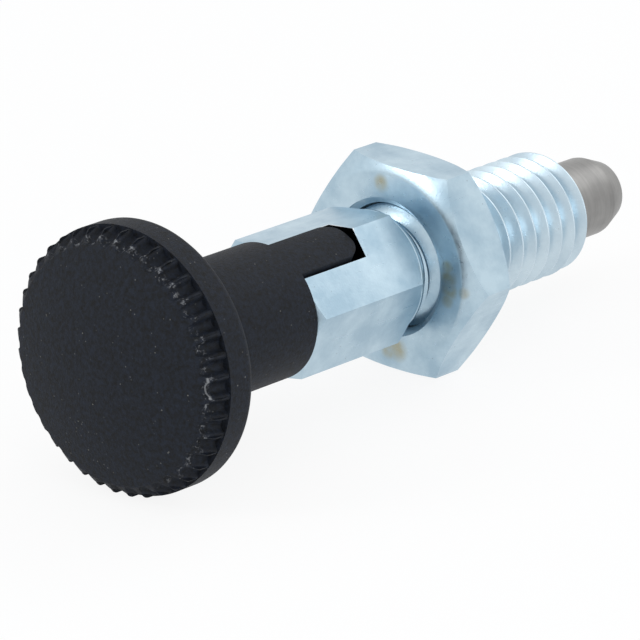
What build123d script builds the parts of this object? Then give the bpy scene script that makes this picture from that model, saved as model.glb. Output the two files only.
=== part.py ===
# Indexing plunger: a steel guide body with a hexagonal grip end and a threaded shank,
# a thin lock nut on the shank, and a spring-loaded locking pin pulled back by a moulded knob.
# Lengths in millimetres. +X runs along the axis towards the pin's nose, +Z is up,
# and the origin is on the axis at the shoulder where the hexagon ends and the shank begins.

import os
from math import cos, radians, sin, tan

from build123d import *

# Guide body, turned and milled from hexagonal bar
hex_across_flats = 7.94
hex_length = 9.5
body_corner_turn = 21.7  # degrees from +Z towards -Y, where the slotted corner lies
hex_chamfer_angle = 30.0
shank_diameter = 7.84
shank_length = 16.7
shank_end_share = 0.43  # of the wall round the bore, taken off by the chamfer at its end
slot_width = 3.24
slot_length = 5.7
web_thickness = 2.3  # wall between the slot floor and the spring chamber
bore_mouth_share = 0.14  # of the same wall, taken off at the mouth of the bore

# Locking pin with its pull stem
pin_diameter = 5.0
pin_guide_clearance = 0.03
pin_reach = 5.5  # how far the pin stands out of the shank
nose_length = 1.55
nose_diameter = 3.9
nose_edge = 0.12
pin_head_length = 12.2
stem_diameter = 2.2
stem_guide_clearance = 0.1
stem_depth_in_knob = 9.6  # how far the stem is pressed in behind the tongue

# Compression spring round the stem
spring_wire = 0.4
spring_bore_clearance = 0.15
spring_turns = 8
spring_wire_sides = 6  # a hexagon stands for the round wire, to keep the thin coil light

# Lock nut
nut_across_flats = 12.75
nut_thickness = 3.7
nut_gap = 1.55  # from the shoulder to the nut
nut_corner_turn = 30.0  # degrees from +Z towards -Y, which lays a flat downwards
nut_face_diameter = 11.8
nut_chamfer_angle = 30.0
nut_bore_clearance = 0.04
nut_countersink = 0.38

# Pull knob, one moulding: head, sleeve and the tongue that rides in the slot
sleeve_diameter = 8.38
sleeve_length = 9.7
sleeve_root = 0.5
tongue_length = 5.2
tongue_clearance = 0.17  # on each side of the tongue
tongue_corner_radius = 1.1
flange_diameter = 16.14
flange_thickness = 2.1
flange_edge = 0.45
ridge_step = 0.07  # the ridges between the flutes lie this much below the flange
ridge_length = 0.8
rim_length = 0.75  # where the ridges slope down to the face
rim_drop = 0.85  # from the ridges down to the edge of the domed face
crown_height = 0.95
flute_count = 40
flute_depth = 0.65
flute_floor_width = 0.5
flute_side_lean = 19.0  # degrees from the radius

overcut = 1.0  # how far the cutting sections reach past the material

hex_corner_radius = hex_across_flats / 2 / cos(radians(30))
nut_corner_radius = nut_across_flats / 2 / cos(radians(30))
shank_radius = shank_diameter / 2
pin_radius = pin_diameter / 2
nose_radius = nose_diameter / 2
stem_radius = stem_diameter / 2
bore_radius = pin_radius + pin_guide_clearance
sleeve_radius = sleeve_diameter / 2
flange_radius = flange_diameter / 2
ridge_radius = flange_radius - ridge_step
rim_radius = ridge_radius - rim_drop
flute_root_radius = ridge_radius - flute_depth
shank_wall = shank_radius - bore_radius
tongue_width = slot_width - 2 * tongue_clearance

hex_rear_x = -hex_length
slot_floor_x = hex_rear_x + slot_length
spring_seat_x = slot_floor_x + web_thickness
pin_tip_x = shank_length + pin_reach
nose_base_x = pin_tip_x - nose_length
pin_shoulder_x = nose_base_x - pin_head_length
tongue_tip_x = hex_rear_x + tongue_length
flange_rear_x = hex_rear_x - sleeve_length
flange_front_x = flange_rear_x - flange_thickness
rim_x = flange_front_x - ridge_length - rim_length
crown_x = rim_x - crown_height
stem_end_x = hex_rear_x - stem_depth_in_knob

# Directions across the axis, in which a corner of each hexagon points
corner_way = Vector(0, -sin(radians(body_corner_turn)), cos(radians(body_corner_turn)))
nut_corner_way = Vector(0, -sin(radians(nut_corner_turn)), cos(radians(nut_corner_turn)))


def cross_plane(x, x_dir=corner_way):
    # A plane square to the axis, whose own X points the given way
    return Plane(origin=(x, 0, 0), x_dir=x_dir, z_dir=(1, 0, 0))


def lathe_outline(x_start, x_end, face_radius, corner_radius, angle):
    # Half section of bar whose two ends are turned to a cone, to intersect with a hexagon
    over = corner_radius + overcut
    run = (over - face_radius) * tan(radians(angle))
    return [
        (x_start, 0),
        (x_start, face_radius),
        (x_start + run, over),
        (x_end - run, over),
        (x_end, face_radius),
        (x_end, 0),
    ]


# Guide body: hexagon with turned ends, shank, bore from the front and slot from the rear
body_outline = lathe_outline(hex_rear_x, 0, shank_radius, hex_corner_radius, hex_chamfer_angle)
with BuildPart() as guide_body:
    with BuildSketch(cross_plane(hex_rear_x)):
        RegularPolygon(hex_corner_radius, 6)
    extrude(amount=hex_length)
    with BuildSketch(Plane.XZ):
        with BuildLine():
            Polyline(*body_outline, close=True)
        make_face()
    revolve(axis=Axis.X, mode=Mode.INTERSECT)
    with BuildSketch(cross_plane(0)):
        Circle(shank_radius)
    extrude(amount=shank_length)
    shank_end = guide_body.faces().sort_by(Axis.X)[-1]
    chamfer(shank_end.edges(), shank_wall * shank_end_share)
    with BuildSketch(cross_plane(spring_seat_x)):
        Circle(bore_radius)
    extrude(amount=shank_length - spring_seat_x, mode=Mode.SUBTRACT)
    bore_mouth = guide_body.faces().sort_by(Axis.X)[-1].edges().sort_by(SortBy.LENGTH)[0]
    chamfer(bore_mouth, shank_wall * bore_mouth_share)
    with BuildSketch(cross_plane(slot_floor_x)):
        Circle(stem_radius + stem_guide_clearance)
    extrude(amount=web_thickness, mode=Mode.SUBTRACT)
    with BuildSketch(cross_plane(hex_rear_x)):
        Rectangle(2 * (hex_corner_radius + overcut), slot_width)
    extrude(amount=slot_length, mode=Mode.SUBTRACT)
guide_body.part.label = "guide_body"

# Lock nut: thin hexagon chamfered on both faces, with a countersink at each end of its bore
nut_outline = lathe_outline(
    nut_gap, nut_gap + nut_thickness, nut_face_diameter / 2, nut_corner_radius, nut_chamfer_angle
)
with BuildPart() as lock_nut:
    with BuildSketch(cross_plane(nut_gap, nut_corner_way)):
        RegularPolygon(nut_corner_radius, 6)
    extrude(amount=nut_thickness)
    with BuildSketch(Plane.XZ):
        with BuildLine():
            Polyline(*nut_outline, close=True)
        make_face()
    revolve(axis=Axis.X, mode=Mode.INTERSECT)
    with BuildSketch(cross_plane(nut_gap)):
        Circle(shank_radius + nut_bore_clearance)
    extrude(amount=nut_thickness, mode=Mode.SUBTRACT)
    for nut_face in (lock_nut.faces().sort_by(Axis.X)[0], lock_nut.faces().sort_by(Axis.X)[-1]):
        chamfer(nut_face.inner_wires().edges(), nut_countersink)
lock_nut.part.label = "lock_nut"

# Locking pin: ground head with a tapered nose, and the thin stem that the knob pulls
pin_outline = [
    (stem_end_x, 0),
    (stem_end_x, stem_radius),
    (pin_shoulder_x, stem_radius),
    (pin_shoulder_x, pin_radius),
    (nose_base_x, pin_radius),
    (pin_tip_x - nose_edge, nose_radius),
    (pin_tip_x, nose_radius - nose_edge),
    (pin_tip_x, 0),
]
with BuildPart() as plunger_pin:
    with BuildSketch(Plane.XZ):
        with BuildLine():
            Polyline(*pin_outline, close=True)
        make_face()
    revolve(axis=Axis.X)
plunger_pin.part.label = "plunger_pin"

# Compression spring, between the floor of the bore and the shoulder of the pin
coil_radius = bore_radius - spring_bore_clearance - spring_wire / 2
coil_start_x = spring_seat_x + spring_wire / 2
coil_height = pin_shoulder_x - spring_seat_x - spring_wire
coil_pitch = coil_height / spring_turns
with BuildPart() as compression_spring:
    with BuildLine():
        coil = Helix(coil_pitch, coil_height, coil_radius, center=(coil_start_x, 0, 0), direction=(1, 0, 0))
    with BuildSketch(Plane(origin=coil @ 0, z_dir=coil % 0)):
        RegularPolygon(spring_wire / 2, spring_wire_sides)
    sweep(path=coil, is_frenet=True)
compression_spring.part.label = "compression_spring"

# Tongue of the knob, rounded at its tip corners and flush with the sleeve outside
with BuildPart() as tongue:
    with BuildSketch(Plane(origin=(hex_rear_x, 0, 0), x_dir=(1, 0, 0), z_dir=corner_way)) as tongue_plan:
        Rectangle(tongue_length, tongue_width, align=(Align.MIN, Align.CENTER))
        tip_corners = tongue_plan.vertices().sort_by(Axis.X)[-2:]
        fillet(tip_corners, tongue_corner_radius)
    extrude(amount=sleeve_radius, both=True)
    with BuildSketch(cross_plane(hex_rear_x)):
        Circle(sleeve_radius)
    extrude(amount=tongue_length, mode=Mode.INTERSECT)

# Pull knob: turned head and sleeve, fluted rim, tongue, and the blind hole for the stem
flute_cut_depth = flange_radius + overcut - flute_root_radius
flute_floor_half = flute_floor_width / 2
flute_mouth_half = flute_floor_half + flute_cut_depth * tan(radians(flute_side_lean))
with BuildPart() as pull_knob:
    with BuildSketch(Plane.XZ) as knob_section:
        with BuildLine():
            TangentArc((crown_x, 0), (rim_x, rim_radius), tangent=(0, 1))
            Polyline(
                (rim_x, rim_radius),
                (rim_x + rim_length, ridge_radius),
                (flange_front_x, ridge_radius),
                (flange_front_x, flange_radius),
                (flange_rear_x, flange_radius),
                (flange_rear_x, sleeve_radius),
                (hex_rear_x, sleeve_radius),
                (hex_rear_x, 0),
                (crown_x, 0),
            )
        make_face()
        section_corners = knob_section.vertices()
        chamfer(section_corners.sort_by_distance((flange_rear_x, flange_radius, 0))[0], flange_edge)
        section_corners = knob_section.vertices()
        chamfer(section_corners.sort_by_distance((flange_rear_x, sleeve_radius, 0))[0], sleeve_root)
    revolve(axis=Axis.X)
    with BuildSketch(cross_plane(crown_x)):
        with PolarLocations(flute_root_radius, flute_count):
            Polygon(
                (0, -flute_floor_half),
                (flute_cut_depth, -flute_mouth_half),
                (flute_cut_depth, flute_mouth_half),
                (0, flute_floor_half),
                align=None,
            )
    extrude(amount=flange_front_x - crown_x, mode=Mode.SUBTRACT)
    add(tongue.part)
    with BuildSketch(cross_plane(stem_end_x)):
        Circle(stem_radius)
    extrude(amount=tongue_tip_x - stem_end_x, mode=Mode.SUBTRACT)
pull_knob.part.label = "pull_knob"

os.makedirs("parts", exist_ok=True)
export_step(guide_body.part, "parts/guide_body.step")
export_step(lock_nut.part, "parts/lock_nut.step")
export_step(plunger_pin.part, "parts/plunger_pin.step")
export_step(compression_spring.part, "parts/compression_spring.step")
export_step(pull_knob.part, "parts/pull_knob.step")
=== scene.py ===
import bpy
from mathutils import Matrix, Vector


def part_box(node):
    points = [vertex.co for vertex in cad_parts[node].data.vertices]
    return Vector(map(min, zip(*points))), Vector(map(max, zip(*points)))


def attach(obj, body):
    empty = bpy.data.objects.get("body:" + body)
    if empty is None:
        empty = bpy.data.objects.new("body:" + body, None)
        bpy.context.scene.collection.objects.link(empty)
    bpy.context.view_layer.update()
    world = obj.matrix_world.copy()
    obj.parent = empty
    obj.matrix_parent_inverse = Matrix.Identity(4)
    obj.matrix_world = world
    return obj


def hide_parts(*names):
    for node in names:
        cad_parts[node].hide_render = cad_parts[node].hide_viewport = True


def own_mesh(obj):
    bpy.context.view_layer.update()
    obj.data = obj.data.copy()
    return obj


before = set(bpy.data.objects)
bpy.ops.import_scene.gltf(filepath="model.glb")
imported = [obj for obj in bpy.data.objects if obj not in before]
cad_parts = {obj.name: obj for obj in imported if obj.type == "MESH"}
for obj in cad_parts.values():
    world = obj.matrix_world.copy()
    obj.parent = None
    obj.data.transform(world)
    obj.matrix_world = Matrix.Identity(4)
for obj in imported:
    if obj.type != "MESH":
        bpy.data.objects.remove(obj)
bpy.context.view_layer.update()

from math import asin, atan2, cos, degrees, pi, radians, sin, tan

import bpy
from mathutils import Euler, Matrix

MM = 0.001


# Guide body
# One turning from hexagonal steel bar: the hexagon is left as the grip, the rest is turned down
# and threaded, a slot is milled across the rear end, and the whole is zinc plated.

def turned(name, outline, steps=144):
    """A solid of revolution about the X axis, from the rear to the front of its half outline in mm."""
    bpy.ops.object.select_all(action="DESELECT")
    x, r = outline[0]
    bpy.ops.mesh.primitive_circle_add(
        vertices=steps, radius=r * MM, fill_type="NGON", location=(x * MM, 0, 0), rotation=(0, pi / 2, 0)
    )
    piece = bpy.context.object
    piece.name = name
    bpy.ops.object.transform_apply(location=True, rotation=True, scale=True)
    bpy.ops.object.mode_set(mode="EDIT")
    bpy.ops.mesh.select_all(action="SELECT")
    for next_x, next_r in outline[1:]:
        bpy.ops.mesh.extrude_region_move(TRANSFORM_OT_translate={"value": ((next_x - x) * MM, 0, 0)})
        if next_r != r:
            share = next_r / r
            bpy.ops.transform.resize(value=(1, share, share), center_override=(next_x * MM, 0, 0))
        x, r = next_x, next_r
    bpy.ops.mesh.select_all(action="SELECT")
    bpy.ops.mesh.normals_make_consistent(inside=False)
    bpy.ops.object.mode_set(mode="OBJECT")
    return piece


def hex_bar(name, across_flats, x_start, x_end, corner_turn):
    """Hexagonal bar along X, with a corner at this angle from +Z towards -Y."""
    bpy.ops.object.select_all(action="DESELECT")
    bpy.ops.mesh.primitive_cylinder_add(
        vertices=6,
        radius=across_flats / 2 / cos(radians(30)) * MM,
        depth=(x_end - x_start) * MM,
        location=((x_start + x_end) / 2 * MM, 0, 0),
        rotation=(0, pi / 2, 0),
    )
    bar = bpy.context.object
    bar.name = name
    bpy.ops.object.transform_apply(location=True, rotation=True, scale=True)
    bar.rotation_euler = (radians(90 + corner_turn), 0, 0)
    bpy.ops.object.transform_apply(location=False, rotation=True, scale=False)
    return bar


def machine(piece, tool, operation):
    """Cuts the tool from the piece, joins it on or keeps what they share, and removes the tool."""
    bpy.ops.object.select_all(action="DESELECT")
    piece.select_set(True)
    bpy.context.view_layer.objects.active = piece
    step = piece.modifiers.new("machined", "BOOLEAN")
    step.operation = operation
    step.solver = "EXACT"
    step.object = tool
    bpy.ops.object.modifier_apply(modifier=step.name)
    bpy.data.objects.remove(tool)
    return piece


def break_edges(piece, width, sharper_than, rear_of=1000.0, segments=2):
    """Breaks the sharp edges that lie wholly to the rear of an x in mm, and shades the piece smooth."""
    bpy.ops.object.select_all(action="DESELECT")
    piece.select_set(True)
    bpy.context.view_layer.objects.active = piece
    bpy.ops.object.mode_set(mode="EDIT")
    bpy.ops.mesh.select_mode(type="EDGE")
    bpy.ops.mesh.select_all(action="DESELECT")
    bpy.ops.mesh.edges_select_sharp(sharpness=radians(sharper_than))
    bpy.ops.object.mode_set(mode="OBJECT")
    weight = piece.data.attributes.new("bevel_weight_edge", "FLOAT", "EDGE")
    for edge in piece.data.edges:
        ends = [piece.data.vertices[i].co.x for i in edge.vertices]
        weight.data[edge.index].value = float(edge.select and max(ends) < rear_of * MM)
    step = piece.modifiers.new("broken edges", "BEVEL")
    step.limit_method = "WEIGHT"
    step.width = width * MM
    step.segments = segments
    step.use_clamp_overlap = True
    bpy.ops.object.modifier_apply(modifier=step.name)
    bpy.ops.object.shade_smooth_by_angle(angle=radians(32))
    step = piece.modifiers.new("flat faces", "WEIGHTED_NORMAL")
    step.weight = 90
    step.keep_sharp = True
    bpy.ops.object.modifier_apply(modifier=step.name)
    return piece


def cone_ends(x_start, x_end, face_radius, corner_radius, angle):
    """Half outline of bar whose ends are turned to a cone, a little proud of its corners."""
    over = corner_radius + 0.5
    run = (over - face_radius) * tan(radians(angle))
    return [(x_start, face_radius), (x_start + run, over), (x_end - run, over), (x_end, face_radius)]


body_low, body_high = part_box("guide_body")
hex_rear = body_low.x / MM
shank_end = body_high.x / MM
hex_flats = 7.94
corner_turn = 21.7
crest_radius = 3.92
pitch = 1.25
thread_depth = 0.61 * pitch
end_chamfer = 0.6
bore_radius = 2.53
slot_width = 3.24
slot_length = 5.7
web = 2.3
stem_hole_radius = 1.2

body = hex_bar("threaded_body", hex_flats, hex_rear, 0, corner_turn)
body_cones = cone_ends(hex_rear, 0, crest_radius, hex_flats / 2 / cos(radians(30)), 30)
machine(body, turned("body cones", body_cones, 192), "INTERSECT")
root_radius = crest_radius - thread_depth
collar = [(-0.5, 3.9), (0.24, 3.9), (0.28, 3.83), (0.36, 3.83), (0.4, 3.87), (0.56, 3.85), (0.66, 3.62)]
collar += [(0.8, 3.58), (0.84, 3.46), (1.0, 3.42), (1.35, root_radius)]
machine(body, turned("core", collar + [(shank_end, root_radius)]), "UNION")

# The thread's ridge, with its rolled round crest, is swept as a screw past both ends
# and trimmed to the turned blank
foot = 0.495 * pitch
crest = [(0.075, 0.045), (0.055, 0.015), (0.025, 0.003)]
half = [(foot, root_radius - 0.15)]
half += [(along, crest_radius - below) for along, below in crest]
section = [(-along, r) for along, r in half] + [(0, crest_radius)] + half[::-1]
bpy.ops.object.select_all(action="DESELECT")
bpy.ops.mesh.primitive_circle_add(vertices=len(section), radius=pitch / 2 * MM, fill_type="NOTHING")
ridge = bpy.context.object
ridge.name = "ridge"
first_ridge = -0.4
for vertex, (along, radius) in zip(ridge.data.vertices, section):
    vertex.co = ((first_ridge + along) * MM, 0, radius * MM)
sweep = ridge.modifiers.new("screw", "SCREW")
sweep.axis = "X"
sweep.angle = 2 * pi
sweep.screw_offset = pitch * MM
sweep.iterations = 14
sweep.steps = sweep.render_steps = 72
bpy.ops.object.modifier_apply(modifier=sweep.name)
bpy.ops.object.mode_set(mode="EDIT")
bpy.ops.mesh.select_all(action="SELECT")
bpy.ops.mesh.fill_holes(sides=0)
bpy.ops.mesh.select_all(action="SELECT")
bpy.ops.mesh.normals_make_consistent(inside=False)
bpy.ops.object.mode_set(mode="OBJECT")
run_in = 1.45
blank_radius = crest_radius + 0.03
blank_outline = [
    (run_in, root_radius),
    (run_in + thread_depth, blank_radius),
    (shank_end - end_chamfer - 0.03, blank_radius),
    (shank_end, crest_radius - end_chamfer),
]
machine(ridge, turned("blank", blank_outline, 180), "INTERSECT")
machine(body, ridge, "UNION")

bore_front = [(hex_rear + slot_length + web, bore_radius), (shank_end - 0.2, bore_radius)]
bore_front += [(shank_end + 0.05, bore_radius + 0.25)]
machine(body, turned("bore", bore_front, 120), "DIFFERENCE")
machine(body, turned("stem hole", [(hex_rear, stem_hole_radius), (0, stem_hole_radius)], 64), "DIFFERENCE")

bpy.ops.object.select_all(action="DESELECT")
bpy.ops.mesh.primitive_cube_add(size=1, location=((hex_rear + slot_length / 2 - 1) * MM, 0, 0))
cutter = bpy.context.object
cutter.scale = ((slot_length + 2) * MM, slot_width * MM, 12 * MM)
cutter.rotation_euler = (radians(corner_turn), 0, 0)
bpy.ops.object.transform_apply(location=True, rotation=True, scale=True)
machine(body, cutter, "DIFFERENCE")
break_edges(body, 0.06, 28, rear_of=-0.05)
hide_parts("guide_body")
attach(body, "guide")


def linear(hex_colour):
    """An sRGB hex colour as linear RGBA."""
    parts = [int(hex_colour[i : i + 2], 16) / 255 for i in (1, 3, 5)]
    return tuple(p / 12.92 if p <= 0.04045 else ((p + 0.055) / 1.055) ** 2.4 for p in parts) + (1.0,)


def node(tree, kind, inputs=(), **settings):
    """Adds a node with its settings; inputs are (socket, value or output socket) pairs."""
    made = tree.nodes.new("ShaderNode" + kind)
    for name, value in settings.items():
        setattr(made, name, value)
    for socket, value in inputs:
        if isinstance(value, bpy.types.NodeSocket):
            tree.links.new(value, made.inputs[socket])
        else:
            made.inputs[socket].default_value = value
    return made


def finish_for(name):
    """A new material with its tree, its shader and the piece's own coordinates."""
    made = bpy.data.materials.new(name)
    made.use_nodes = True
    tree = made.node_tree
    return made, tree, tree.nodes["Principled BSDF"], node(tree, "TexCoord").outputs["Object"]


def plated_zinc(name, stains=()):
    """Zinc plating, passivated blue: a satin, slightly cloudy sheen on bar that was drawn along X,
    with fine pits. Stains are (x, y, z, radius) in mm, where the bath dried yellow-brown."""
    finish, tree, shader, place = finish_for(name)
    cloud = node(tree, "TexNoise", [("Vector", place), ("Scale", 380.0), ("Detail", 5.0), ("Roughness", 0.6)])
    tone = node(tree, "MapRange", [("Value", cloud.outputs["Fac"]), ("From Min", 0.35), ("From Max", 0.65)])
    colour = node(
        tree,
        "Mix",
        [("Factor", tone.outputs["Result"]), ("A", linear("#9fb8c8")), ("B", linear("#bcd1dd"))],
        data_type="RGBA",
    ).outputs[2]
    pits = node(tree, "TexVoronoi", [("Vector", place), ("Scale", 1700.0)])
    pit = node(
        tree,
        "MapRange",
        [("Value", pits.outputs["Distance"]), ("From Min", 0.04), ("From Max", 0.11)]
        + [("To Min", 1.0), ("To Max", 0.0)],
    )
    chosen = node(tree, "SeparateColor", [("Color", pits.outputs["Color"])])
    some = node(tree, "Math", [(0, chosen.outputs["Red"]), (1, 0.72)], operation="GREATER_THAN")
    dark = node(tree, "Math", [(0, pit.outputs["Result"]), (1, some.outputs["Value"])], operation="MULTIPLY")
    faint = node(tree, "Math", [(0, dark.outputs["Value"]), (1, 0.45)], operation="MULTIPLY")
    colour = node(
        tree,
        "Mix",
        [("Factor", faint.outputs["Value"]), ("A", colour), ("B", linear("#6f7b84"))],
        data_type="RGBA",
    ).outputs[2]
    if stains:
        ragged = node(tree, "TexNoise", [("Vector", place), ("Scale", 1500.0), ("Detail", 4.0)])
        spread = 0.0
        for x, y, z, radius in stains:
            away = node(tree, "VectorMath", [(0, place), (1, (x * MM, y * MM, z * MM))], operation="DISTANCE")
            blot = node(
                tree,
                "MapRange",
                [("Value", away.outputs["Value"]), ("From Min", radius * 0.3 * MM), ("From Max", radius * MM)]
                + [("To Min", 1.0), ("To Max", 0.0)],
                interpolation_type="SMOOTHSTEP",
            )
            most = node(tree, "Math", [(0, blot.outputs["Result"]), (1, spread)], operation="MAXIMUM")
            spread = most.outputs["Value"]
        patchy = node(
            tree,
            "MapRange",
            [("Value", ragged.outputs["Fac"]), ("From Min", 0.35), ("From Max", 0.65)]
            + [("To Min", 0.35), ("To Max", 0.8)],
        )
        stained = node(tree, "Math", [(0, spread), (1, patchy.outputs["Result"])], operation="MULTIPLY")
        colour = node(
            tree,
            "Mix",
            [("Factor", stained.outputs["Value"]), ("A", colour), ("B", linear("#a09b7e"))],
            data_type="RGBA",
        ).outputs[2]
    tree.links.new(colour, shader.inputs["Base Color"])
    drawn = node(tree, "Mapping", [("Vector", place), ("Scale", (0.08, 1.0, 1.0))])
    lines = node(tree, "TexNoise", [("Vector", drawn.outputs["Vector"]), ("Scale", 5000.0), ("Detail", 3.0)])
    sheen = node(tree, "MapRange", [("Value", lines.outputs["Fac"]), ("To Min", 0.2), ("To Max", 0.44)])
    tree.links.new(sheen.outputs["Result"], shader.inputs["Roughness"])
    grain = node(tree, "TexNoise", [("Vector", place), ("Scale", 7000.0), ("Detail", 3.0)])
    relief = node(tree, "Bump", [("Strength", 0.3), ("Distance", 0.00002), ("Height", grain.outputs["Fac"])])
    tree.links.new(relief.outputs["Normal"], shader.inputs["Normal"])
    shader.inputs["Metallic"].default_value = 1.0
    return finish, tree, shader, place


# The slot's inside is painted near-black, painted shade for the dark beyond the tongue's tip. Its upper
# milled edges get a ragged white line, a painted highlight, and the thread's base colour is lightened from x
# = 3 mm on, painted light
zinc, tree, shader, place = plated_zinc("blue passivated zinc")
turn = radians(corner_turn)
across = node(tree, "VectorMath", [(0, place), (1, (0.0, cos(turn), sin(turn)))], operation="DOT_PRODUCT")
off_middle = node(tree, "Math", [(0, across.outputs["Value"])], operation="ABSOLUTE")
between = node(
    tree, "Math", [(0, off_middle.outputs["Value"]), (1, (slot_width / 2 + 0.01) * MM)], operation="LESS_THAN"
)
along = node(tree, "SeparateXYZ", [("Vector", place)])
slot_floor = (hex_rear + slot_length + 0.01) * MM
behind = node(tree, "Math", [(0, along.outputs["X"]), (1, slot_floor)], operation="LESS_THAN")
# Painted shade: the slot's walls and floor picked out here are painted near-black
inside = node(
    tree, "Math", [(0, between.outputs["Value"]), (1, behind.outputs["Value"])], operation="MULTIPLY"
)
# Painted highlight: a ragged white line along the slot's edges, on the upper, lit side only
edge_highlight_width = 0.08
near_edge = node(
    tree, "Math", [(0, off_middle.outputs["Value"]), (1, (slot_width / 2 + edge_highlight_width) * MM)], operation="LESS_THAN"
)
near_end = node(tree, "Math", [(0, along.outputs["X"]), (1, slot_floor + edge_highlight_width * MM)], operation="LESS_THAN")
edge_highlight_noise = node(tree, "TexNoise", [("Vector", place), ("Scale", 1800.0), ("Detail", 3.0)])
ragged = node(tree, "MapRange", [("Value", edge_highlight_noise.outputs["Fac"]), ("From Min", 0.4), ("From Max", 0.55)])
lit_upper_side = node(tree, "Math", [(0, across.outputs["Value"]), (1, -0.4 * MM)], operation="GREATER_THAN")
around = node(
    tree, "Math", [(0, near_edge.outputs["Value"]), (1, near_end.outputs["Value"])], operation="MULTIPLY"
)
ragged_lit_side = node(
    tree, "Math", [(0, lit_upper_side.outputs["Value"]), (1, ragged.outputs["Result"])], operation="MULTIPLY"
)
edge = node(tree, "Math", [(0, around.outputs["Value"]), (1, ragged_lit_side.outputs["Value"])], operation="MULTIPLY")
# Painted light: the thread's base colour is lightened from x = 3 mm on
painted_thread_light = node(tree, "Math", [(0, along.outputs["X"]), (1, 3 * MM)], operation="GREATER_THAN")
plating_with_painted_light = shader.inputs["Base Color"].links[0].from_socket
# Painted light over the plating: lightened thread, a white highlight line on the upper slot edges, and
# near-black shade inside the slot
for mask, share, tone in (
    (painted_thread_light, 0.4, "#dde8ee"),
    (edge, 0.9, "#f4f7f9"),
    (inside, 1.0, "#14161a"),
):
    part = node(tree, "Math", [(0, mask.outputs["Value"]), (1, share)], operation="MULTIPLY")
    plating_with_painted_light = node(
        tree,
        "Mix",
        [("Factor", part.outputs["Value"]), ("A", plating_with_painted_light), ("B", linear(tone))],
        data_type="RGBA",
    ).outputs[2]
tree.links.new(plating_with_painted_light, shader.inputs["Base Color"])
body.data.materials.clear()
body.data.materials.append(zinc)


# Lock nut
# A thin steel nut, chamfered on both faces and countersunk at both ends of its thread,
# zinc plated with the body. It sits a short way in front of the hexagon.

nut_low, nut_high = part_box("lock_nut")
nut_rear, nut_front = nut_low.x / MM, nut_high.x / MM
nut_flats = 12.75
nut_face_radius = 5.85
nut_bore_radius = crest_radius + 0.04
countersink = 0.38
nut = hex_bar("thin_nut", nut_flats, nut_rear, nut_front, 30)
flat_depth = 0.18
crown_of_chamfer = [(0, nut_face_radius), (0.04, 6.05), (flat_depth, nut_flats / 2), (0.4, 6.78), (0.86, 7.4)]
crown_of_chamfer += [(1.8, 8.6)]
nut_cones = [(nut_rear + back, r) for back, r in crown_of_chamfer]
nut_cones += [(nut_front - back, r) for back, r in crown_of_chamfer[::-1]]
machine(nut, turned("nut cones", nut_cones, 240), "INTERSECT")
nut_hole = [
    (nut_rear - 0.05, nut_bore_radius + countersink + 0.05),
    (nut_rear + countersink, nut_bore_radius),
    (nut_front - countersink, nut_bore_radius),
    (nut_front + 0.05, nut_bore_radius + countersink + 0.05),
]
machine(nut, turned("nut hole", nut_hole, 144), "DIFFERENCE")
break_edges(nut, 0.11, 28, segments=3)
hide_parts("lock_nut")
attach(nut, "nut")
nut_stains = [
    (nut_rear, 0.74, 5.18, 0.75),
    (nut_rear, -4.75, 1.3, 0.6),
    (nut_rear, -4.9, 0.6, 0.8),
    (nut_rear, -5.0, -0.1, 0.8),
    (nut_rear, -4.9, -0.8, 0.6),
    (nut_rear, -6.1, 0.0, 0.5),
    (nut_rear, -1.2, -5.0, 1.0),
    (nut_rear, -0.5, -5.3, 0.7),
    (nut_rear, -1.27, -4.77, 0.3),
]
nut.data.materials.clear()
nut.data.materials.append(plated_zinc("blue passivated zinc, stained", nut_stains)[0])


# Locking pin
# Hardened steel, ground along its cylinder, with a tapered nose; its thin stem goes back
# through the spring and the body into the knob.

def rounded(x, r, radius, start, end, steps=5):
    """Points round an arc of the outline about (x, r), between two angles in degrees from +X towards +r."""
    turns = [radians(start + (end - start) * i / steps) for i in range(steps + 1)]
    return [(x + radius * cos(a), r + radius * sin(a)) for a in turns]


pin_low, pin_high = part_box("plunger_pin")
stem_end, pin_tip = pin_low.x / MM, pin_high.x / MM
pin_radius = 2.5
stem_radius = 1.1
nose_length = 1.55
nose_radius = 1.95
tip_round = 0.14
head_length = 12.2
nose_edge_run, nose_edge_drop = 0.08, 0.03  # the edge where the taper starts is ground off
pin_shoulder = pin_tip - nose_length - head_length
pin_outline = [(stem_end, stem_radius), (pin_shoulder, stem_radius), (pin_shoulder, pin_radius)]
pin_outline += [(pin_tip - nose_length - nose_edge_run, pin_radius)]
pin_outline += [(pin_tip - nose_length + nose_edge_run, pin_radius - nose_edge_drop)]
pin_outline += rounded(pin_tip - tip_round, nose_radius - tip_round, tip_round, 70, 0)
pin = turned("ground_pin", pin_outline, 144)
bpy.ops.object.shade_smooth_by_angle(angle=radians(25))
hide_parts("plunger_pin")
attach(pin, "plunger")

# Ground hardened steel: warm grey with fine rings round the axis from the grinding wheel
ground, tree, shader, place = finish_for("ground steel")
axis_only = node(tree, "Mapping", [("Vector", place), ("Scale", (1.0, 0.06, 0.06))])
rings = node(tree, "TexNoise", [("Vector", axis_only.outputs["Vector"]), ("Scale", 6000.0), ("Detail", 3.0)])
smear = node(tree, "TexNoise", [("Vector", place), ("Scale", 900.0), ("Detail", 4.0)])
both = node(tree, "Mix", [("Factor", 0.55), ("A", rings.outputs["Fac"]), ("B", smear.outputs["Fac"])])
streak = node(
    tree,
    "Mix",
    [("Factor", both.outputs["Result"]), ("A", linear("#6b6b6b")), ("B", linear("#a6a5a3"))],
    data_type="RGBA",
)
tree.links.new(streak.outputs[2], shader.inputs["Base Color"])
relief = node(tree, "Bump", [("Strength", 0.15), ("Distance", 0.00002), ("Height", rings.outputs["Fac"])])
tree.links.new(relief.outputs["Normal"], shader.inputs["Normal"])
shader.inputs["Metallic"].default_value = 1.0
shader.inputs["Roughness"].default_value = 0.42
pin.data.materials.clear()
pin.data.materials.append(ground)


# Compression spring
# Drawn round wire, wound round the stem between the floor of the bore and the pin's shoulder.

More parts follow.
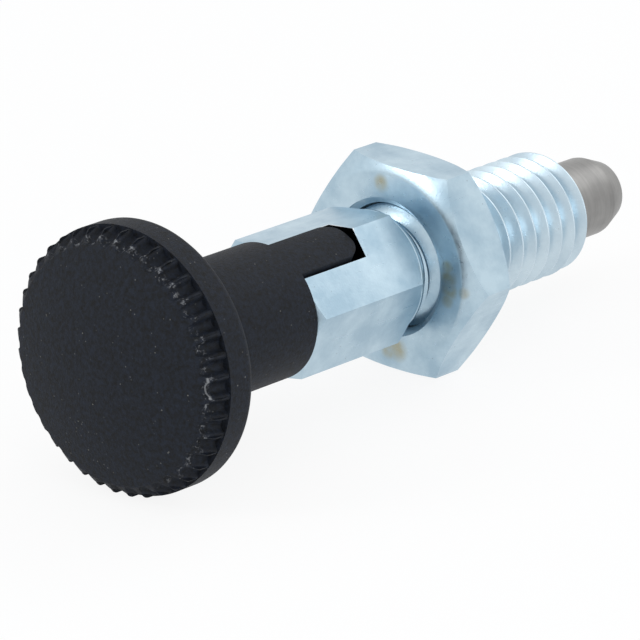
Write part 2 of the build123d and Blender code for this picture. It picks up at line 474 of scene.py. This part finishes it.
spring_low, spring_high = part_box("compression_spring")
wire_radius = 0.2
coil_radius = 2.18
spring_turns = 8
bpy.ops.object.select_all(action="DESELECT")
bpy.ops.mesh.primitive_circle_add(
    vertices=12,
    radius=wire_radius * MM,
    fill_type="NOTHING",
    location=(spring_low.x + wire_radius * MM, 0, coil_radius * MM),
    rotation=(pi / 2, 0, 0),
)
spring = bpy.context.object
spring.name = "coil_spring"
bpy.ops.object.transform_apply(location=True, rotation=True, scale=True)
winding = spring.modifiers.new("winding", "SCREW")
winding.axis = "X"
winding.angle = 2 * pi
winding.screw_offset = (spring_high.x - spring_low.x - 2 * wire_radius * MM) / spring_turns
winding.iterations = spring_turns
winding.steps = winding.render_steps = 40
bpy.ops.object.modifier_apply(modifier=winding.name)
bpy.ops.object.mode_set(mode="EDIT")
bpy.ops.mesh.select_all(action="SELECT")
bpy.ops.mesh.fill_holes(sides=0)
bpy.ops.mesh.select_all(action="SELECT")
bpy.ops.mesh.normals_make_consistent(inside=False)
bpy.ops.object.mode_set(mode="OBJECT")
bpy.ops.object.shade_smooth_by_angle(angle=radians(40))
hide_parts("compression_spring")
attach(spring, "guide")
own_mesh(spring)

# Drawn spring wire: darker and smoother than the plating, and hidden in the bore at every pose
wire, tree, shader, place = finish_for("drawn spring wire")
draw = node(tree, "TexNoise", [("Vector", place), ("Scale", 4000.0)])
shade = node(
    tree,
    "Mix",
    [("Factor", draw.outputs["Fac"]), ("A", linear("#6f7276")), ("B", linear("#8b8e92"))],
    data_type="RGBA",
)
tree.links.new(shade.outputs[2], shader.inputs["Base Color"])
shader.inputs["Metallic"].default_value = 1.0
shader.inputs["Roughness"].default_value = 0.35
spring.data.materials.clear()
spring.data.materials.append(wire)


# Pull knob
# Glass-filled nylon, moulded in one piece: a mushroom head with a fluted rim, a smooth flange
# behind the flutes, a sleeve, and a tongue that rides in the slot of the body.

knob_low, knob_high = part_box("pull_knob")
crown = knob_low.x / MM
tongue_tip = knob_high.x / MM + 0.2
sleeve_radius = 4.19
root_fillet = 0.5
flange_rear = -19.2
flange_front = -21.3
flange_radius = 8.07
flange_round = 0.6
ridge_radius = 8.0
ridge_front, face_edge = (-22.1, 8.0), (-22.85, 7.15)
rim_round, face_round = 0.5, 0.3
flute_count = 40
flute_rear_root, flute_front_root = 7.62, 7.08
flute_section = [(0.09, 0), (0.2, 0.03), (0.29, 0.1), (0.36, 0.2), (0.41, 0.28), (0.46, 0.34), (0.52, 0.38)]
flute_section += [(0.58, 0.4), (0.58, 1.8)]
tongue_width = 2.9
tongue_round = 1.1

# The face is a ball's cap, and a slope that is rounded at both ends leads from it to the ridges
cap_height = face_edge[0] - crown
ball = (cap_height**2 + face_edge[1] ** 2) / (2 * cap_height)
cap_normal = 180 - degrees(asin(face_edge[1] / ball))
rim_normal = 90 + degrees(atan2(ridge_front[1] - face_edge[1], ridge_front[0] - face_edge[0]))
knob_outline = []
for i in range(1, 16):
    r = (face_edge[1] - 0.08) * i / 15
    knob_outline.append((crown + ball - (ball**2 - r**2) ** 0.5, r))
middle = radians((cap_normal + rim_normal) / 2)
inset = face_round / cos(radians(cap_normal - rim_normal) / 2)
face_centre = (face_edge[0] - inset * cos(middle), face_edge[1] - inset * sin(middle))
knob_outline += rounded(*face_centre, face_round, cap_normal - 2, rim_normal, 3)
rim_centre = ridge_front[0] + rim_round * tan(radians(rim_normal - 90) / 2)
knob_outline += rounded(rim_centre, ridge_radius - rim_round, rim_round, rim_normal, 90, 6)
knob_outline += [(flange_front, ridge_radius + 0.01), (flange_front, flange_radius)]
knob_outline += rounded(flange_rear - flange_round, flange_radius - flange_round, flange_round, 90, 0, 6)
knob_outline += rounded(flange_rear + root_fillet, sleeve_radius + root_fillet, root_fillet, 180, 270)
knob_outline += [(hex_rear, sleeve_radius)]
knob = turned("moulded_knob", knob_outline, 240)

# One cutter has the flute's section, and sinks towards the face. Forty copies of it, set round
# the axis, stop at the flange
section = [(-across, high) for across, high in flute_section] + flute_section[::-1]
bpy.ops.object.select_all(action="DESELECT")
bpy.ops.mesh.primitive_circle_add(vertices=len(section), radius=MM, fill_type="NGON")
flutes = bpy.context.object
for vertex, (across, high) in zip(flutes.data.vertices, section):
    vertex.co = (flange_front * MM, across * MM, (flute_rear_root + high) * MM)
cut_length = flange_front - crown + 0.5
sink = (flute_rear_root - flute_front_root) / (flange_front - face_edge[0]) * cut_length
bpy.ops.object.mode_set(mode="EDIT")
bpy.ops.mesh.select_all(action="SELECT")
bpy.ops.mesh.extrude_region_move(TRANSFORM_OT_translate={"value": (-cut_length * MM, 0, -sink * MM)})
bpy.ops.mesh.select_all(action="SELECT")
bpy.ops.mesh.normals_make_consistent(inside=False)
bpy.ops.object.mode_set(mode="OBJECT")
copies = []
for i in range(flute_count):
    copy = flutes.copy()
    copy.data = flutes.data.copy()
    bpy.context.collection.objects.link(copy)
    copy.rotation_euler = (radians(corner_turn + 360 / flute_count * i), 0, 0)
    copies.append(copy)
bpy.data.objects.remove(flutes)
bpy.ops.object.select_all(action="DESELECT")
for copy in copies:
    copy.select_set(True)
bpy.context.view_layer.objects.active = copies[0]
bpy.ops.object.join()
bpy.ops.object.transform_apply(location=False, rotation=True, scale=False)
machine(knob, bpy.context.object, "DIFFERENCE")

# The tongue: a bar with rounded tip corners, turned to the sleeve's radius
bpy.ops.object.select_all(action="DESELECT")
bpy.ops.mesh.primitive_cube_add(size=1, location=((hex_rear - 1 + tongue_tip) / 2 * MM, 0, 0))
tongue = bpy.context.object
tongue.scale = ((tongue_tip - hex_rear + 1) * MM, tongue_width * MM, 2 * (sleeve_radius + 1) * MM)
bpy.ops.object.transform_apply(location=True, rotation=True, scale=True)
corner_weight = tongue.data.attributes.new("bevel_weight_edge", "FLOAT", "EDGE")
for edge in tongue.data.edges:
    ends = [tongue.data.vertices[i].co for i in edge.vertices]
    at_tip = all(abs(end.x - tongue_tip * MM) < 1e-6 for end in ends)
    corner_weight.data[edge.index].value = float(at_tip and abs(ends[0].z - ends[1].z) > MM)
round_tip = tongue.modifiers.new("tip corners", "BEVEL")
round_tip.limit_method = "WEIGHT"
round_tip.width = tongue_round * MM
round_tip.segments = 10
bpy.ops.object.modifier_apply(modifier=round_tip.name)
tongue.rotation_euler = (radians(corner_turn), 0, 0)
bpy.ops.object.transform_apply(location=False, rotation=True, scale=False)
tongue_blank = [(hex_rear - 1, sleeve_radius), (tongue_tip + 1, sleeve_radius)]
machine(tongue, turned("tongue blank", tongue_blank, 240), "INTERSECT")
machine(knob, tongue, "UNION")
stem_outline = [(stem_end, stem_radius), (0, stem_radius)]
machine(knob, turned("stem hole", stem_outline, 48), "DIFFERENCE")
break_edges(knob, 0.05, 30, segments=2)
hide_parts("pull_knob")
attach(knob, "plunger")

# Black glass-filled nylon: a fine spark-eroded mould texture, dull and faintly blue, with pale
# fibre flecks, and whitish scuffs where the flutes run out at the rim
nylon, tree, shader, place = finish_for("black nylon")
mottle = node(tree, "TexNoise", [("Vector", place), ("Scale", 3600.0), ("Detail", 5.0), ("Roughness", 0.7)])
spotty = node(tree, "MapRange", [("Value", mottle.outputs["Fac"]), ("From Min", 0.36), ("From Max", 0.64)])
colour = node(
    tree,
    "Mix",
    [("Factor", spotty.outputs["Result"]), ("A", linear("#040609")), ("B", linear("#151c28"))],
    data_type="RGBA",
).outputs[2]
flecks = node(tree, "TexVoronoi", [("Vector", place), ("Scale", 3000.0)])
fleck = node(
    tree,
    "MapRange",
    [("Value", flecks.outputs["Distance"]), ("From Min", 0.05), ("From Max", 0.17)]
    + [("To Min", 0.65), ("To Max", 0.0)],
)
away = node(tree, "VectorMath", [(0, place), (1, (-23.2 * MM, 1.5 * MM, -4.6 * MM))], operation="DISTANCE")
rarity = node(
    tree,
    "MapRange",
    [("Value", away.outputs["Value"]), ("From Min", 1 * MM), ("From Max", 4 * MM)]
    + [("To Min", 0.2), ("To Max", 0.75)],
)
chance = node(tree, "SeparateColor", [("Color", flecks.outputs["Color"])])
shows = node(
    tree, "Math", [(0, chance.outputs["Red"]), (1, rarity.outputs["Result"])], operation="GREATER_THAN"
)
size = node(tree, "Math", [(0, shows.outputs["Value"]), (1, chance.outputs["Green"])], operation="MULTIPLY")
pale = node(tree, "Math", [(0, fleck.outputs["Result"]), (1, size.outputs["Value"])], operation="MULTIPLY")
axes = node(tree, "SeparateXYZ", [("Vector", place)])
inner = node(
    tree, "MapRange", [("Value", axes.outputs["X"]), ("From Min", -22.75 * MM), ("From Max", -22.55 * MM)]
)
outer = node(
    tree,
    "MapRange",
    [("Value", axes.outputs["X"]), ("From Min", -22.45 * MM), ("From Max", -22.15 * MM)]
    + [("To Min", 1.0), ("To Max", 0.0)],
)
band = node(tree, "Math", [(0, inner.outputs["Result"]), (1, outer.outputs["Result"])], operation="MINIMUM")
upward = node(tree, "VectorMath", [(0, place), (1, (0.0, -0.75, 0.66))], operation="DOT_PRODUCT")
side = node(
    tree, "MapRange", [("Value", upward.outputs["Value"]), ("From Min", -3 * MM), ("From Max", 4 * MM)]
)
crumbs = node(tree, "TexNoise", [("Vector", place), ("Scale", 4200.0), ("Detail", 4.0), ("Roughness", 0.7)])
rough = node(
    tree,
    "MapRange",
    [("Value", crumbs.outputs["Fac"]), ("From Min", 0.54), ("From Max", 0.66), ("To Max", 0.75)],
)
worn = node(tree, "Math", [(0, band.outputs["Value"]), (1, side.outputs["Result"])], operation="MULTIPLY")
scuff = node(tree, "Math", [(0, worn.outputs["Value"]), (1, rough.outputs["Result"])], operation="MULTIPLY")
# The scratch runs over ridges and flutes alike, so depth, which is nearly Y there, hardly counts
depth_share = 0.1
scratch_start, scratch_run = (-22.55, -7.357 * depth_share, 1.35), (0.08, -0.221 * depth_share, -1.19)
run_length = sum(v * v for v in scratch_run) ** 0.5
flattened = node(tree, "VectorMath", [(0, place), (1, (1.0, depth_share, 1.0))], operation="MULTIPLY")
from_start = node(
    tree,
    "VectorMath",
    [(0, flattened.outputs["Vector"]), (1, tuple(v * MM for v in scratch_start))],
    operation="SUBTRACT",
)
way = tuple(v / run_length for v in scratch_run)
gone = node(tree, "VectorMath", [(0, from_start.outputs["Vector"]), (1, way)], operation="DOT_PRODUCT")
held = node(tree, "Clamp", [("Value", gone.outputs["Value"]), ("Max", run_length * MM)])
nearest = node(tree, "VectorMath", [(0, way), ("Scale", held.outputs["Result"])], operation="SCALE")
off = node(
    tree,
    "VectorMath",
    [(0, from_start.outputs["Vector"]), (1, nearest.outputs["Vector"])],
    operation="DISTANCE",
)
scratch = node(
    tree,
    "MapRange",
    [("Value", off.outputs["Value"]), ("From Min", 0.02 * MM), ("From Max", 0.08 * MM)]
    + [("To Min", 0.5), ("To Max", 0.0)],
)
for mark, tone in (
    (pale.outputs["Value"], "#8a8983"),
    (scuff.outputs["Value"], "#8e9094"),
    (scratch.outputs["Result"], "#a6a8ab"),
):
    colour = node(
        tree,
        "Mix",
        [("Factor", mark), ("A", colour), ("B", linear(tone))],
        data_type="RGBA",
    ).outputs[2]
tree.links.new(colour, shader.inputs["Base Color"])
sparks = node(tree, "TexNoise", [("Vector", place), ("Scale", 6500.0), ("Detail", 4.0), ("Roughness", 0.7)])
relief = node(tree, "Bump", [("Strength", 0.6), ("Distance", 0.00006), ("Height", sparks.outputs["Fac"])])
tree.links.new(relief.outputs["Normal"], shader.inputs["Normal"])
shader.inputs["IOR"].default_value = 1.53
shader.inputs["Specular IOR Level"].default_value = 0.2
shader.inputs["Roughness"].default_value = 0.64
knob.data.materials.clear()
knob.data.materials.append(nylon)


# Floor, lights and camera
# The plunger lies on the flange of its knob and a flat of its nut, on a white table in a light tent.

def white_rays(tree):
    """1 for the rays that see plain white: those of the camera, mirrored ones and refracted ones."""
    seen = node(tree, "LightPath")
    mirrored = node(
        tree,
        "Math",
        [(0, seen.outputs["Is Glossy Ray"]), (1, seen.outputs["Is Transmission Ray"])],
        operation="MAXIMUM",
    )
    either = [(0, seen.outputs["Is Camera Ray"]), (1, mirrored.outputs["Value"])]
    return node(tree, "Math", either, operation="MAXIMUM").outputs["Value"]


nut_flat_front = nut_front - flat_depth
floor_slope = atan2(knob_low.z - nut_low.z, (flange_rear - flange_round - nut_flat_front) * MM)
bpy.ops.object.select_all(action="DESELECT")
bpy.ops.mesh.primitive_plane_add(
    size=2, location=(nut_flat_front * MM, 0, nut_low.z), rotation=(0, -floor_slope, 0)
)
floor = bpy.context.object
floor.name = "floor"
white, tree, shader, place = finish_for("white table")
shader.inputs["Base Color"].default_value = linear("#fbfbfb")
shader.inputs["Roughness"].default_value = 0.9
shown = white_rays(tree)
glow = node(tree, "Emission", [("Color", linear("#ffffff")), ("Strength", 1.0)])
share = node(tree, "MixShader", [("Fac", 0.88), (1, shader.outputs["BSDF"]), (2, glow.outputs["Emission"])])
plain = node(
    tree,
    "MixShader",
    [("Fac", shown), (1, shader.outputs["BSDF"]), (2, share.outputs["Shader"])],
)
tree.links.new(plain.outputs["Shader"], tree.nodes["Material Output"].inputs["Surface"])
floor.data.materials.append(white)

scene = bpy.context.scene
scene.view_settings.view_transform = "Standard"
world = bpy.data.worlds.new("light tent")
scene.world = world
world.use_nodes = True
tree = world.node_tree
tent = tree.nodes["Background"]
tent.inputs["Color"].default_value = linear("#f4f7fa")
tent.inputs["Strength"].default_value = 0.8
shown = white_rays(tree)
plain = node(tree, "Background", [("Color", linear("#ffffff")), ("Strength", 1.0)])
mixed = node(
    tree,
    "MixShader",
    [("Fac", shown), (1, tent.outputs["Background"]), (2, plain.outputs["Background"])],
)
tree.links.new(mixed.outputs["Shader"], tree.nodes["World Output"].inputs["Surface"])


def softbox(name, azimuth, elevation, size, watts, distance=0.25):
    """A square soft light aimed at the plunger from an azimuth and elevation like the camera's."""
    a, e = radians(azimuth), radians(elevation)
    lamp = bpy.data.lights.new(name, "AREA")
    lamp.size = size
    lamp.energy = watts
    holder = bpy.data.objects.new(name, lamp)
    bpy.context.collection.objects.link(holder)
    holder.location = (sin(a) * cos(e) * distance, -cos(a) * cos(e) * distance, sin(e) * distance)
    holder.rotation_euler = (pi / 2 - e, 0, a)


softbox("key softbox", -116, 28, 0.08, 0.13)
softbox("fill softbox", 80, 44, 0.16, 0.1)
softbox("front softbox", -8, 12, 0.16, 0.17)

view_azimuth, view_elevation, view_roll = -49.59, 20.9, 2.65
lens = bpy.data.cameras.new("camera")
lens.lens = 301
lens.sensor_width = 36
lens.clip_start, lens.clip_end = 0.01, 5
camera = bpy.data.objects.new("camera", lens)
bpy.context.collection.objects.link(camera)
camera.location = (-0.23193, -0.19373, 0.11223)
level = Euler((radians(90 - view_elevation), 0, radians(view_azimuth))).to_matrix()
camera.rotation_euler = (level @ Matrix.Rotation(radians(view_roll), 3, "Z")).to_euler()
scene.camera = camera
